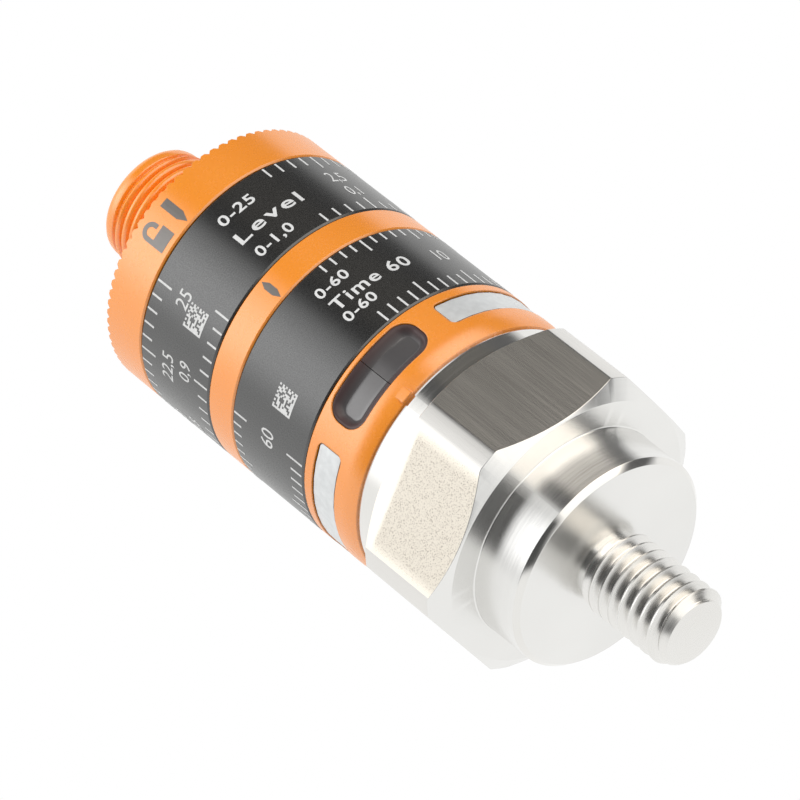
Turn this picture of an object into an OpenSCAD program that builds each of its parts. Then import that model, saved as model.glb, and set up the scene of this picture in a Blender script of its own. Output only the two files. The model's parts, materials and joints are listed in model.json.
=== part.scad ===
// Vibration sensor: threaded stud, hexagon base, two setting rings under a lock ring, and a round connector.
// Millimetres. The origin is the centre of the seating face and +Z runs along the axis to the connector.
// The front, with the pointers and the signal window, faces -Y.

/* [Stud and collar] */
// Nominal radius of the stud's thread
stud_r = 4; // [3:0.25:5]
// Length of the stud below the seating face
stud_l = 11; // [8:0.5:20]
// Pitch of the stud's thread
stud_pitch = 1.25; // [0.75:0.25:1.5]
// Chamfer at the stud's tip
stud_c = 0.75; // [0.4:0.05:1]
// Depth of the relief groove at the stud's root
relief_d = 0.7; // [0.3:0.05:0.9]
// Length of the relief groove
relief_l = 1; // [0.6:0.1:2]
// How far the recess round the stud's root reaches beyond the thread
root_w = 0.25; // [0.15:0.05:0.6]
// Depth of that recess in the seating face
root_d = 0.2; // [0.1:0.05:0.5]
// Radius of the collar
collar_r = 10.7; // [9:0.1:11.5]
// Height of the collar
collar_h = 5.5; // [3:0.1:8]
// Chamfer round the seating face
collar_c = 0.5; // [0.2:0.05:1]

/* [Hexagon base] */
// Width across the flats of the hexagon
hex_af = 27; // [25:0.1:30]
// How far the turned lands on the corners stand out beyond the flats
land_out = 1.5; // [0.9:0.1:1.9]
// Height of the hexagon
hex_h = 10.75; // [9:0.25:16]
// Height of the turned chamfers above and below the hexagon
hex_c_h = 1.2; // [0.8:0.1:2]
// Width of those chamfers, measured inwards from the lands
hex_c_w = 1.7; // [1.2:0.1:2]
// Height of the round lip above the hexagon
lip_h = 2.15; // [1.5:0.05:4]
// Thickness of the cup's wall at the lip
cup_wall = 2; // [1.5:0.1:2.2]
// Depth of the cup below the lip
cup_d = 9.4; // [8.5:0.1:11]

/* [Housing] */
// How far the housing and the rings lie inside the flats of the hexagon
ring_in = 0; // [0:0.1:0.5]
// Height of the housing's lower ring
housing_h = 6.95; // [6.5:0.05:9]
// How far the rounded foot of the lower ring draws in
foot_in = 0.3; // [0.15:0.05:0.6]
// Height of the rounded foot
foot_h = 1.9; // [1:0.1:2]
// Length of the spigot that goes into the cup
spigot_l = 5.2; // [4:0.1:6]
// Width of the key between the lip and the housing
key_w = 1.2; // [0.8:0.1:2]
// Height of that key
key_h = 0.7; // [0.4:0.1:1.2]
// Wall of the lip outside that key
key_cover = 0.8; // [0.5:0.1:1]
// Thickness of the delay ring's wall, which sets the core's radius
ring_wall = 3.2; // [2.8:0.1:3.4]
// Step in the core that carries the pointer ring
core_step = 0.4; // [0.2:0.05:0.6]
// Thickness of the core's wall above that step
core_wall = 1.4; // [1.2:0.1:1.6]

/* [Window and labels] */
// Height of the middle of the window and the labels above the lip
sign_z = 4.28; // [3.8:0.02:4.6]
// Width of the signal window
window_w = 10.8; // [8:0.1:12]
// Height of the signal window
window_h = 4.25; // [3:0.05:4.6]
// Corner radius of the signal window
window_c = 1.7; // [0.5:0.1:2]
// Depth of the window's recess
window_d = 2.1; // [1.5:0.1:2.5]
// Gap between the two halves of the window
window_split = 0.15; // [0.1:0.05:0.4]
// Depth of the dish in the window's face
dish_d = 0.7; // [0.3:0.05:1]
// Width of the rim round that dish
dish_rim = 0.35; // [0.2:0.05:0.6]
// Width of a label plate across its chord
label_w = 13.5; // [8:0.1:13.6]
// Height of a label plate
label_h = 3.1; // [2:0.05:4]
// Corner radius of a label plate
label_c = 0.6; // [0.3:0.05:1.2]
// Depth of a label plate's recess
label_d = 0.7; // [0.4:0.05:1]
// Angle from the front to the middle of each label plate
label_angle = 64.5; // [60:0.5:80]
// How far the window and the plates lie below the surface
sink = 0.1; // [0.05:0.05:0.3]

/* [Rings] */
// Height of the space for the delay ring
delay_h = 10; // [8:0.1:14]
// Height of the pointer ring
pointer_h = 3.35; // [2.5:0.05:5]
// Height of the space for the level ring
level_h = 9.8; // [8:0.1:14]
// Height of the lock ring, from the level ring to its top
lock_h = 4.9; // [4.2:0.1:7]
// Gap between a ring that turns and its neighbour
ring_gap = 0.12; // [0.08:0.02:0.3]
// Chamfer on the edges of the rings
ring_c = 0.15; // [0.05:0.05:0.3]
// Serrations round the top edge of the lock ring
lock_teeth = 80; // [40:1:90]
// Depth of a serration
tooth_d = 0.32; // [0.15:0.01:0.4]
// Length of a serration, measured inwards
tooth_l = 0.9; // [0.5:0.1:1.5]
// Angle that the lock ring turns to free the setting rings
unlock_angle = 11; // [6:1:40]
// Radius of a setting magnet
magnet_r = 1.5; // [1:0.1:2]
// Length of a setting magnet
magnet_l = 2; // [1:0.1:2.2]

/* [Connector] */
// Nominal radius of the connector's thread
barrel_r = 6; // [5.5:0.1:7]
// Length of the barrel above its flange
barrel_l = 10.8; // [9:0.1:16]
// Pitch of the connector's thread
barrel_pitch = 1; // [0.75:0.25:1.5]
// Lead-in chamfer at the barrel's end
barrel_c = 0.5; // [0.3:0.05:1]
// Radius of the socket
socket_r = 4.3; // [4:0.1:4.8]
// Depth of the socket
socket_d = 8.5; // [6:0.1:9]
// How far the flange reaches over the lock ring
flange_w = 1.3; // [1:0.1:1.6]
// Thickness of the flange
flange_h = 1.3; // [0.8:0.1:2]
// Length of the head's spigot in the core
head_l = 6; // [5:0.1:8]
// Radius of a contact
pin_r = 0.5; // [0.3:0.05:0.6]
// Radius of the circle of contacts
pin_circle_r = 2.45; // [2:0.05:2.8]
// Number of contacts
pin_count = 4; // [3:1:4]
// How far the contacts' tips lie inside the socket
pin_sink = 1.2; // [0.5:0.1:2]

/* [Electronics] */
// Thickness of the circuit board
board_t = 1; // [0.8:0.1:1.6]
// Distance of the circuit board's middle from the axis, towards the front
board_off = 3; // [2.8:0.1:4]
// Thickness of the round sensing board
disc_t = 1.2; // [0.8:0.1:1.6]
// Edge of the accelerometer
accel_w = 5; // [3:0.5:6]
// Height of the accelerometer
accel_h = 1.6; // [1:0.1:2.5]
// Edge of the processor
chip_w = 7; // [4:0.5:8]
// Edge of a magnetic sensor
sensor_w = 3; // [2:0.5:4]
// Height of the chips on the circuit board
chip_h = 1; // [0.5:0.1:1.2]
// Edge of a signal LED
led_w = 2; // [1:0.1:2.4]
// Height of a signal LED
led_h = 0.8; // [0.4:0.1:1.2]
// Radius of the light guide behind each half of the window
guide_r = 1.1; // [0.6:0.1:1.3]

/* [Fits] */
// Clearance between pieces that are fixed together
fit_gap = 0.03; // [0.02:0.01:0.08]
// Clearance between a ring and the core that it turns on
run_gap = 0.05; // [0.03:0.01:0.1]
// Clearance beside the flange and the stop
side_gap = 0.15; // [0.1:0.05:0.3]
// Depth of the grooves for the seals
seal_d = 1; // [0.8:0.1:1.2]
// Depth of the grooves for the grip rings
grip_d = 0.7; // [0.5:0.05:0.8]
// Width of a groove beyond its depth
groove_more = 0.4; // [0.2:0.1:0.8]

/* [Hidden] */
$fn = 96;
eps = 0.01;
over = 1;
hex_turn = 30;
foot_rib_share = 0.8;

// A thread's depth and the width of its grooves, as shares of the pitch, and the slope of its flanks
thread_depth = 0.6;
thread_mouth = 0.875;
thread_flank = 30;

// Heights along the axis
hex_z = collar_h;
hex_top_z = hex_z + hex_h;
lip_z = hex_top_z + lip_h;
cup_z = lip_z - cup_d;
rim_z = lip_z + housing_h;
delay_top_z = rim_z + delay_h;
pointer_top_z = delay_top_z + pointer_h;
level_top_z = pointer_top_z + level_h;
lock_top_z = level_top_z + lock_h;
core_top_z = lock_top_z - flange_h - side_gap;
barrel_z = core_top_z + flange_h;
barrel_top_z = barrel_z + barrel_l;
sign_mid_z = lip_z + sign_z;

// Radii about the axis
flat_r = hex_af / 2;
hex_corner_r = flat_r / cos(30);
land_r = flat_r + land_out;
ring_r = flat_r - ring_in;
hex_end_r = land_r - hex_c_w;
lip_r = ring_r - foot_in;
cup_r = lip_r - cup_wall;
spigot_r = cup_r - fit_gap;
core_r = ring_r - ring_wall;
neck_r = core_r - core_step;
bore_r = neck_r - core_wall;
flange_r = neck_r + flange_w;
window_floor_r = ring_r - window_d;
dish_floor_r = ring_r - sink - dish_d;
label_floor_r = ring_r - label_d;

// Lock ring: the ledge under the flange, the stop's slot and the washer's recess
ledge_z = core_top_z - ring_gap;
stop_r = neck_r + flange_w / 2;
stop_h = 1.4;
stop_half = 4;
stop_side = 1;
stop_angle = 90;
washer_t = 0.3;
washer_w = 1.8;
washer_inset = 0.4;
washer_in_r = neck_r + washer_inset;
washer_out_r = washer_in_r + washer_w;
washer_recess = 0.5;

// Connector head and its insert
head_z = core_top_z - head_l;
carrier_flange_h = 2;
carrier_flange_w = 1.3;
carrier_flange_r = socket_r + carrier_flange_w;
carrier_top_z = barrel_top_z - socket_d;
key_rib_w = 1;
key_rib_d = 0.6;
key_rib_sink = 1.5;
pin_tail = 2.4;
head_seal_drop = 2.4;
head_seal_z = core_top_z - head_seal_drop;

// Boards
disc_edge = 1.4;
disc_r = cup_r - disc_edge;
disc_top_z = cup_z + disc_t;
slot_floor = 1;
slot_wall = 0.8;
slot_top_z = lip_z - spigot_l - side_gap;
board_end_gap = 0.4;
board_z = disc_top_z + slot_floor;
board_top_z = head_z - board_end_gap;
board_front = board_off + board_t / 2;
board_back = board_off - board_t / 2;
board_half_w = sqrt(bore_r * bore_r - board_front * board_front) - fit_gap;
slot_half_w = board_half_w + slot_wall;
guide_x = window_w / 4;
guide_gap = 0.3;
guide_end = board_front + led_h + guide_gap;
sensor_front = board_front + chip_h;
sensor_x = sqrt(bore_r * bore_r - sensor_front * sensor_front) - side_gap - sensor_w / 2;
accel_y = 3.5;
processor_drop = 8.5;
processor_z = board_top_z - processor_drop;

// Ring of rectangular section about the axis
module tube(r_in, r_out, z0, z1) {
    rotate_extrude()
        translate([r_in, z0])
            square([r_out - r_in, z1 - z0]);
}

// Outline of a thread between two heights: grooves one pitch apart, with crests at the nominal radius
function thread_points(r, z0, z1, pitch) =
    let (count = floor((z1 - z0) / pitch))
    let (first_z = (z0 + z1 - (count - 1) * pitch) / 2)
    let (root_r = r - thread_depth * pitch)
    let (crest_half = thread_mouth * pitch / 2)
    let (root_half = crest_half - (r - root_r) * tan(thread_flank))
    [
        for (i = [0 : count - 1])
            let (z = first_z + i * pitch)
            each [[r, z - crest_half], [root_r, z - root_half], [root_r, z + root_half], [r, z + crest_half]]
    ];

// Part of such a ring between two angles
module sector(r_in, r_out, z0, z1, from, to) {
    rotate([0, 0, from])
        rotate_extrude(angle = to - from)
            translate([r_in, z0])
                square([r_out - r_in, z1 - z0]);
}

// Ring with chamfered outer edges
module chamfered_ring(r_in, r_out, z0, z1, c) {
    rotate_extrude()
        polygon([
            [r_in, z0], [r_out - c, z0], [r_out, z0 + c],
            [r_out, z1 - c], [r_out - c, z1], [r_in, z1]
        ]);
}

// Round seal that fills a groove between two walls
module seal(r_in, r_out, z) {
    rotate_extrude()
        translate([(r_in + r_out) / 2, z])
            circle(r = (r_out - r_in) / 2 - fit_gap);
}

// Groove for such a seal, cut into a wall of radius r
module seal_groove(r, depth, z) {
    half = (depth + groove_more) / 2;
    tube(r - depth, r + over, z - half, z + half);
}

// Rectangle with round corners
module rounded_rect(w, h, c) {
    square([w - 2 * c, h], center = true);
    square([w, h - 2 * c], center = true);
    for (sx = [-1, 1], sy = [-1, 1])
        translate([sx * (w / 2 - c), sy * (h / 2 - c)])
            circle(r = c);
}

// Bar of that section that points outwards at an angle from the front
module sign_bar(angle, w, h, c) {
    rotate([0, 0, angle])
        translate([0, 0, sign_mid_z])
            rotate([90, 0, 0])
                linear_extrude(height = 2 * ring_r)
                    rounded_rect(w, h, c);
}

// The part of a sign bar between a recess's floor and an outer radius
module sign_plate(angle, w, h, c, floor_r, outer_r) {
    intersection() {
        sign_bar(angle, w, h, c);
        tube(floor_r, outer_r, lip_z, rim_z);
    }
}

// Round bar along Y, from one distance in front of the axis to another
module front_bar(r, x, z, from, to) {
    translate([x, -from, z])
        rotate([90, 0, 0])
            cylinder(r = r, h = to - from);
}

// Block that stands on the circuit board's front or back face
module board_chip(x, z, w, from, to) {
    translate([x - w / 2, -to, z - w / 2])
        cube([w, to - from, w]);
}

// Turned body of the base with its stud, collar and cup
module base_turning() {
    difference() {
        rotate_extrude()
            polygon(concat(
                [[0, -stud_l], [stud_r - stud_c, -stud_l], [stud_r, stud_c - stud_l]],
                thread_points(stud_r, stud_c - stud_l, -relief_l, stud_pitch),
                [
                    [stud_r, -relief_l], [stud_r - relief_d, relief_d - relief_l],
                    [stud_r - relief_d, root_d], [stud_r + root_w, root_d], [stud_r + root_w, 0],
                    [collar_r - collar_c, 0], [collar_r, collar_c], [collar_r, hex_z],
                    [hex_end_r, hex_z], [land_r, hex_z + hex_c_h], [land_r, hex_top_z - hex_c_h],
                    [hex_end_r, hex_top_z], [lip_r, hex_top_z], [lip_r, lip_z], [0, lip_z]
                ]
            ));
        translate([0, 0, cup_z])
            cylinder(r = cup_r, h = cup_d + over);
    }
}

// Space outside the flats of the hexagon
module hex_waste() {
    difference() {
        tube(collar_r, land_r + over, hex_z - eps, hex_top_z);
        rotate([0, 0, hex_turn])
            cylinder(r = hex_corner_r, h = hex_top_z + over, $fn = 6);
    }
}

// Key at the front, behind the lip, that keeps the housing from turning in the base
module front_key(w, h, cover) {
    translate([-w / 2, cover - lip_r, lip_z - h])
        cube([w, cup_wall - cover, h + eps]);
}

// Rib at the front that fills the rounded foot of the housing
module foot_rib() {
    intersection() {
        translate([-key_w / 2, -ring_r, lip_z])
            cube([key_w, ring_r - spigot_r, foot_h]);
        tube(cup_r, lip_r + foot_rib_share * foot_in, lip_z, lip_z + foot_h);
    }
}

module hex_base() {
    color("silver")
        difference() {
            base_turning();
            hex_waste();
            front_key(key_w + 2 * fit_gap, key_h + fit_gap, key_cover);
        }
}

module base_seal() {
    color("dimgray")
        seal(spigot_r - seal_d, cup_r, lip_z - spigot_l / 2);
}

// Radius of the circle that rounds the foot of the lower ring
foot_arc_r = (foot_in * foot_in + foot_h * foot_h) / (2 * foot_in);
foot_steps = 8;

// Rounded foot of the lower ring, from the lip up to its straight wall
function foot_point(i) =
    let (z = foot_h * i / foot_steps)
    let (drop = foot_h - z)
    [ring_r - foot_arc_r + sqrt(foot_arc_r * foot_arc_r - drop * drop), lip_z + z];

module housing_turning() {
    rotate_extrude()
        polygon(concat(
            [[bore_r, lip_z - spigot_l], [spigot_r, lip_z - spigot_l], [spigot_r, lip_z]],
            [for (i = [0 : foot_steps]) foot_point(i)],
            [
                [ring_r, rim_z - ring_c], [ring_r - ring_c, rim_z], [core_r, rim_z],
                [core_r, delay_top_z], [neck_r, delay_top_z], [neck_r, core_top_z], [bore_r, core_top_z]
            ]
        ));
}

module housing_recess(angle, w, h, c, floor_r) {
    sign_plate(angle, w, h, c, floor_r, ring_r + over);
}

module housing() {
    color("darkorange") {
        difference() {
            housing_turning();
            seal_groove(spigot_r, seal_d, lip_z - spigot_l / 2);
            seal_groove(core_r, grip_d, rim_z + delay_h / 2);
            seal_groove(neck_r, grip_d, pointer_top_z + level_h / 2);
            housing_recess(0, window_w, window_h, window_c, window_floor_r);
            for (s = [-1, 1]) {
                housing_recess(s * label_angle, label_w, label_h, label_c, label_floor_r);
                front_bar(guide_r + fit_gap, s * guide_x, sign_mid_z, 0, ring_r);
            }
            pointer_key(key_w + 2 * fit_gap, core_top_z + over);
        }
        front_key(key_w, key_h, key_cover + fit_gap);
        foot_rib();
    }
}

// Half of the signal window with its light guide, on the side given by s
module window_half(s) {
    w = window_w - 2 * fit_gap;
    h = window_h - 2 * fit_gap;
    half_w = w / 2 - window_split / 2;
    dish_w = w - 2 * dish_rim;
    dish_h = h - 2 * dish_rim;
    intersection() {
        difference() {
            sign_plate(0, w, h, window_c, window_floor_r + fit_gap, ring_r - sink);
            sign_plate(0, dish_w, dish_h, window_c - dish_rim, dish_floor_r, ring_r + over);
        }
        translate([s * (window_split + half_w) / 2 - half_w / 2, -2 * ring_r, lip_z])
            cube([half_w, 2 * ring_r, housing_h]);
    }
    front_bar(guide_r, s * guide_x, sign_mid_z, guide_end, window_floor_r + sink);
}

module power_lens() {
    color([0.25, 0.24, 0.25])
        window_half(-1);
}

module output_lens() {
    color([0.25, 0.24, 0.25])
        window_half(1);
}

module label_plate(s) {
    w = label_w - 4 * fit_gap;
    h = label_h - 4 * fit_gap;
    sign_plate(s * label_angle, w, h, label_c, label_floor_r, ring_r - sink);
}

module power_label() {
    color("gainsboro")
        label_plate(-1);
}

module output_label() {
    color("gainsboro")
        label_plate(1);
}

// Round hole or magnet that lies along a radius to the right
module magnet_bar(r, l, r_in, z) {
    translate([r_in, 0, z])
        rotate([0, 90, 0])
            cylinder(r = r, h = l);
}

module setting_ring(r_in, z0, z1) {
    difference() {
        chamfered_ring(r_in, ring_r, z0 + ring_gap / 2, z1 - ring_gap / 2, ring_c);
        magnet_bar(magnet_r + fit_gap, magnet_l + over, r_in - over, (z0 + z1) / 2);
    }
}

module delay_ring() {
    color([0.16, 0.16, 0.17])
        setting_ring(core_r + run_gap, rim_z, delay_top_z);
}

module delay_magnet() {
    color("slategray")
        magnet_bar(magnet_r, magnet_l - sink, core_r + run_gap + sink, rim_z + delay_h / 2);
}

module delay_grip() {
    color("dimgray")
        seal(core_r - grip_d, core_r + run_gap, rim_z + delay_h / 2);
}

// Key that stops the pointer ring from turning on the core
module pointer_key(w, top_z) {
    translate([neck_r - core_wall / 2, -w / 2, delay_top_z])
        cube([core_wall, w, top_z - delay_top_z]);
}

module pointer_ring() {
    color("darkorange") {
        chamfered_ring(neck_r + fit_gap, ring_r, delay_top_z, pointer_top_z, ring_c);
        intersection() {
            pointer_key(key_w, pointer_top_z);
            tube(neck_r - core_wall / 2 + fit_gap, neck_r + core_step, delay_top_z, pointer_top_z);
        }
    }
}

module level_ring() {
    color([0.16, 0.16, 0.17])
        setting_ring(neck_r + run_gap, pointer_top_z, level_top_z);
}

module level_magnet() {
    color("slategray")
        magnet_bar(magnet_r, magnet_l - sink, neck_r + run_gap + sink, pointer_top_z + level_h / 2);
}

module level_grip() {
    color("dimgray")
        seal(neck_r - grip_d, neck_r + run_gap, pointer_top_z + level_h / 2);
}

// One serration: a square bar on its edge, along a radius at the top of the lock ring
module serration() {
    side = 2 * tooth_d;
    translate([ring_r - tooth_l, 0, lock_top_z - tooth_d])
        rotate([45, 0, 0])
            cube([tooth_l + over, side, side]);
}

module lock_ring() {
    bottom_z = level_top_z + ring_gap / 2;
    color("darkorange")
        difference() {
            rotate_extrude()
                polygon([
                    [neck_r + run_gap, bottom_z], [ring_r - ring_c, bottom_z], [ring_r, bottom_z + ring_c],
                    [ring_r, lock_top_z], [flange_r + side_gap, lock_top_z], [flange_r + side_gap, ledge_z],
                    [neck_r + run_gap, ledge_z]
                ]);
            tube(washer_in_r, washer_out_r, bottom_z - over, bottom_z + washer_recess);
            sector(
                neck_r - over, stop_r + side_gap, ledge_z - stop_h - side_gap, ledge_z + over,
                stop_angle - unlock_angle - stop_half - stop_side, stop_angle + stop_half + stop_side
            );
            for (i = [0 : lock_teeth - 1])
                rotate([0, 0, i * 360 / lock_teeth])
                    serration();
        }
}

module spring_washer() {
    roof_z = level_top_z + ring_gap / 2 + washer_recess;
    color("lightgray")
        tube(washer_in_r + run_gap, washer_out_r - run_gap, roof_z - washer_t, roof_z);
}

module connector_head() {
    color("darkorange") {
        difference() {
            rotate_extrude()
                polygon(concat(
                    [
                        [socket_r, head_z], [bore_r - fit_gap, head_z], [bore_r - fit_gap, core_top_z],
                        [flange_r, core_top_z], [flange_r, barrel_z - ring_c], [flange_r - ring_c, barrel_z],
                        [barrel_r, barrel_z]
                    ],
                    thread_points(barrel_r, barrel_z, barrel_top_z - barrel_c, barrel_pitch),
                    [
                        [barrel_r, barrel_top_z - barrel_c], [barrel_r - barrel_c, barrel_top_z],
                        [socket_r, barrel_top_z]
                    ]
                ));
            seal_groove(bore_r - fit_gap, seal_d, head_seal_z);
            tube(socket_r - over, carrier_flange_r + fit_gap, head_z - over, head_z + carrier_flange_h);
        }
        sector(
            neck_r + side_gap, stop_r, ledge_z - stop_h, core_top_z + eps,
            stop_angle - stop_half, stop_angle + stop_half
        );
        intersection() {
            translate([-key_rib_w / 2, 0, carrier_top_z])
                cube([key_rib_w, barrel_r, socket_d - key_rib_sink]);
            tube(socket_r - key_rib_d, socket_r + eps, carrier_top_z, barrel_top_z);
        }
    }
}

module head_seal() {
    color("dimgray")
        seal(bore_r - fit_gap - seal_d, bore_r, head_seal_z);
}

// The contacts, or the holes for them
module pin_ring(r, z0, z1) {
    for (i = [0 : pin_count - 1])
        rotate([0, 0, 45 + 90 * i])
            translate([pin_circle_r, 0, z0])
                cylinder(r = r, h = z1 - z0);
}

module contact_carrier() {
    color([0.14, 0.14, 0.14])
        difference() {
            union() {
                translate([0, 0, head_z])
                    cylinder(r = carrier_flange_r, h = carrier_flange_h);
                translate([0, 0, head_z])
                    cylinder(r = socket_r - fit_gap, h = carrier_top_z - head_z);
            }
            pin_ring(pin_r + fit_gap, head_z - over, carrier_top_z + over);
        }
}

module contact_pins() {
    color("gold")
        pin_ring(pin_r, head_z - pin_tail, barrel_top_z - pin_sink);
}

module circuit_board() {
    color("seagreen")
        translate([-board_half_w, -board_front, board_z])
            cube([2 * board_half_w, board_t, board_top_z - board_z]);
}

module processor() {
    color([0.14, 0.14, 0.14])
        board_chip(0, processor_z, chip_w, board_back - chip_h, board_back);
}

module delay_sensor() {
    color([0.14, 0.14, 0.14])
        board_chip(sensor_x, rim_z + delay_h / 2, sensor_w, board_front, sensor_front);
}

module level_sensor() {
    color([0.14, 0.14, 0.14])
        board_chip(sensor_x, pointer_top_z + level_h / 2, sensor_w, board_front, sensor_front);
}

module power_led() {
    color("honeydew")
        board_chip(-guide_x, sign_mid_z, led_w, board_front, board_front + led_h);
}

module output_led() {
    color("honeydew")
        board_chip(guide_x, sign_mid_z, led_w, board_front, board_front + led_h);
}

module sensing_board() {
    color("seagreen")
        translate([0, 0, cup_z])
            cylinder(r = disc_r, h = disc_t);
}

module accelerometer() {
    color([0.14, 0.14, 0.14])
        translate([-accel_w / 2, accel_y - accel_w / 2, disc_top_z])
            cube([accel_w, accel_w, accel_h]);
}

// Socket on the sensing board that the circuit board stands in
module board_socket() {
    color([0.2, 0.2, 0.2])
        difference() {
            translate([-slot_half_w, -board_front - slot_wall, disc_top_z])
                cube([2 * slot_half_w, board_t + 2 * slot_wall, slot_top_z - disc_top_z]);
            translate([-board_half_w - fit_gap, -board_front - fit_gap, board_z])
                cube([2 * (board_half_w + fit_gap), board_t + 2 * fit_gap, slot_top_z - board_z + over]);
        }
}

hex_base();
base_seal();
housing();
power_lens();
output_lens();
power_label();
output_label();
delay_ring();
delay_magnet();
delay_grip();
pointer_ring();
level_ring();
level_magnet();
level_grip();
lock_ring();
spring_washer();
connector_head();
head_seal();
contact_carrier();
contact_pins();
circuit_board();
processor();
delay_sensor();
level_sensor();
power_led();
output_led();
sensing_board();
accelerometer();
board_socket();
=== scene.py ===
"""Looks of the vibration sensor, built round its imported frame. Sizes are in millimetres, angles in degrees.

Angles about the axis are measured from the front (-Y), and grow towards +X.
"""

import json
import math

import bmesh
import bpy
from mathutils import Matrix, Vector


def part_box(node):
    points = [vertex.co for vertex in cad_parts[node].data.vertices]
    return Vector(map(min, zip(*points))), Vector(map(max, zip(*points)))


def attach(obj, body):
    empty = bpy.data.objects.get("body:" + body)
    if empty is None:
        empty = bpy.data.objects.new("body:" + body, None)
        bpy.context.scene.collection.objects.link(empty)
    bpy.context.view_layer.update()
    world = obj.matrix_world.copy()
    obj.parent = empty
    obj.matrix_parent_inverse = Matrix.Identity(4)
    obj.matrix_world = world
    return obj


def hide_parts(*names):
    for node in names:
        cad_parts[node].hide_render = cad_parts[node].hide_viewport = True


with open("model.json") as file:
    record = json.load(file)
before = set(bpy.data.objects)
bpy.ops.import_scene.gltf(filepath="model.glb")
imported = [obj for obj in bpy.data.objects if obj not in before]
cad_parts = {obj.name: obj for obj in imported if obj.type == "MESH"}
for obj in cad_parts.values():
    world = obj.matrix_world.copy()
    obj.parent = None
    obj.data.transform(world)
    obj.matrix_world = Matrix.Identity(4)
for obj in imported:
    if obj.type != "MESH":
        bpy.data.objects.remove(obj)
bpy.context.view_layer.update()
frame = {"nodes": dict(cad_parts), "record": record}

MM = 0.001


def top(node):
    """Height of a node's upper end."""
    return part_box(node)[1].z / MM


def bottom(node):
    """Height of a node's lower end."""
    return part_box(node)[0].z / MM


def reach(node):
    """How far a node reaches from the axis along +X."""
    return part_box(node)[1].x / MM


# Main sizes, read from the frame
TIP_Z = bottom("hex_base")
LIP_Z = top("hex_base")
FLAT_R = reach("hex_base")
RING_R = reach("level_ring")
DELAY_Z = bottom("delay_ring")
DELAY_TOP_Z = top("delay_ring")
POINTER_Z = bottom("pointer_ring")
LEVEL_Z = bottom("level_ring")
LEVEL_TOP_Z = top("level_ring")
LOCK_Z = bottom("lock_ring")
HEAD_Z = bottom("connector_head")
END_Z = top("connector_head")
FLANGE_R = reach("connector_head")
CARRIER_TOP_Z = top("contact_carrier")

# Camera: aim on the axis, distance, azimuth, elevation and roll as the photograph shows them
AIM_Z = 28.1
CAMERA_DISTANCE = 528.6
CAMERA_AZIMUTH = -2.01
CAMERA_ELEVATION = -34.59
CAMERA_ROLL = -51.47
CAMERA_LENS = 265.95
CAMERA_SENSOR = 36
CAMERA_SHIFT = (-0.0006, -0.0011)

# Stage
FLOOR_GAP = 0.2
FLOOR_HALF = 1500
AMBIENT = 0.55
WALL_COLOUR = (1.04, 1.04, 1.03)

# Base: stud, collar, hexagon with an etched flat, and lip
STUD_R = 4.0
STUD_TIP_R = 3.25
STUD_PITCH = 1.25
STUD_PHASE = -0.08
THREAD_DEPTH = 0.75
RELIEF_R = 3.3
RELIEF_Z = -0.3
COLLAR_R = 10.7
COLLAR_C = 0.5
COLLAR_FILLET = 0.15
HEX_Z = 5.5
HEX_TOP_Z = 16.25
LAND_R = 15.0
HEX_END_R = 13.3
HEX_C_H = 1.2
HEX_ROUND = 0.06
LIP_R = 13.2
LIP_FILLET = 0.03
CUP_R = 11.2
CUP_Z = 9.0
LIP_C_H = 0.45
LIP_C_W = 0.16
NOTCH_W = 1.26
NOTCH_H = 0.73
NOTCH_R = 12.4
EDGE = 0.08
ETCHED_FLAT = -30
ETCH_Z = 14.4
ETCH_FADE_Z = 0.2
ETCH_HALF_W = 5.1
ETCH_FADE_W = 1.2

# Window and labels, let into the lower ring
SIGN_SINK = 0.1
LENS_C = 1.67
LENS_D = 1.97
DISH_D = 0.7
DISH_PAINTED_SHADE_D = 0.21
DISH_FACE_D = 0.672
DISH_RIM = 0.1
DISH_SLOPE = 1.0
SEAM = 0.06
GUIDE_R = 1.1
LABEL_ANGLE = 64.5
LABEL_W = 13.32
LABEL_H = 2.92
LABEL_C = 0.42
LABEL_EDGE = 0.1
LABEL_D = 0.6

# Connector
BARREL_Z = 53.25
BARREL_R = 6.0
BARREL_PITCH = 1.0
BARREL_DEPTH = 0.5
BARREL_ROOT_R = 5.5
BARREL_FILLET = 0.1
RUN_IN = 0.15
RUN_OUT = 0.1
COLLET_Z = 62.45
COLLET_R = 5.78
COLLET_C = 0.15
COLLET_ROUND = 0.12
RIM_ROUND = 0.9
SOCKET_R = 4.3
MOUTH_C_W = 0.25
MOUTH_C_H = 0.3
MOUTH_ROUND = 0.1
SPIGOT_R = 8.47
SPIGOT_ROUND = 0.1
FLANGE_ROUND = 0.15
FLANGE_EDGE = 0.05
CORE_TOP_Z = 51.95
RIB_W = 1.0
RIB_D = 0.6
RIB_SINK = 1.5

# Print on the rings: rows are heights over a ring's lower edge, sizes are heights of digits, and lengths
# are those of the long and the short ticks, negative where they run downwards
PRINT_T = 0.02
PRINT_SINK = 0.02
STRIP_W = 0.5
TICK_W = 0.2
TICK_INSET = 0.2
LONG_EVERY = 5
NUMBER_SQUEEZE = 0.82
BOLD = 0.03
FIELD_SIZE = 2.4
FIELD_CELLS = 12
LEVEL_START = 30.4
LEVEL_TICKS = 50
LEVEL_UPPER_PITCH = 6.108
LEVEL_UPPER_ROW = 5.84
LEVEL_UPPER_SIZE = 1.55
LEVEL_UPPER_LENGTHS = (-1.94, -1.34)
LEVEL_LOWER_PITCH = 6.2
LEVEL_LOWER_ROW = 3.44
LEVEL_LOWER_SIZE = 1.45
LEVEL_LOWER_LENGTHS = (1.84, 1.24)
DELAY_START = 13.6
DELAY_TICKS = 60
DELAY_PITCH = 4.94
DELAY_ROW = 5.09
DELAY_SIZE = 1.65
DELAY_UPPER_LENGTHS = (-1.74, -1.06)
DELAY_LOWER_LENGTHS = (2.14, 1.49)


# Mesh helpers

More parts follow.
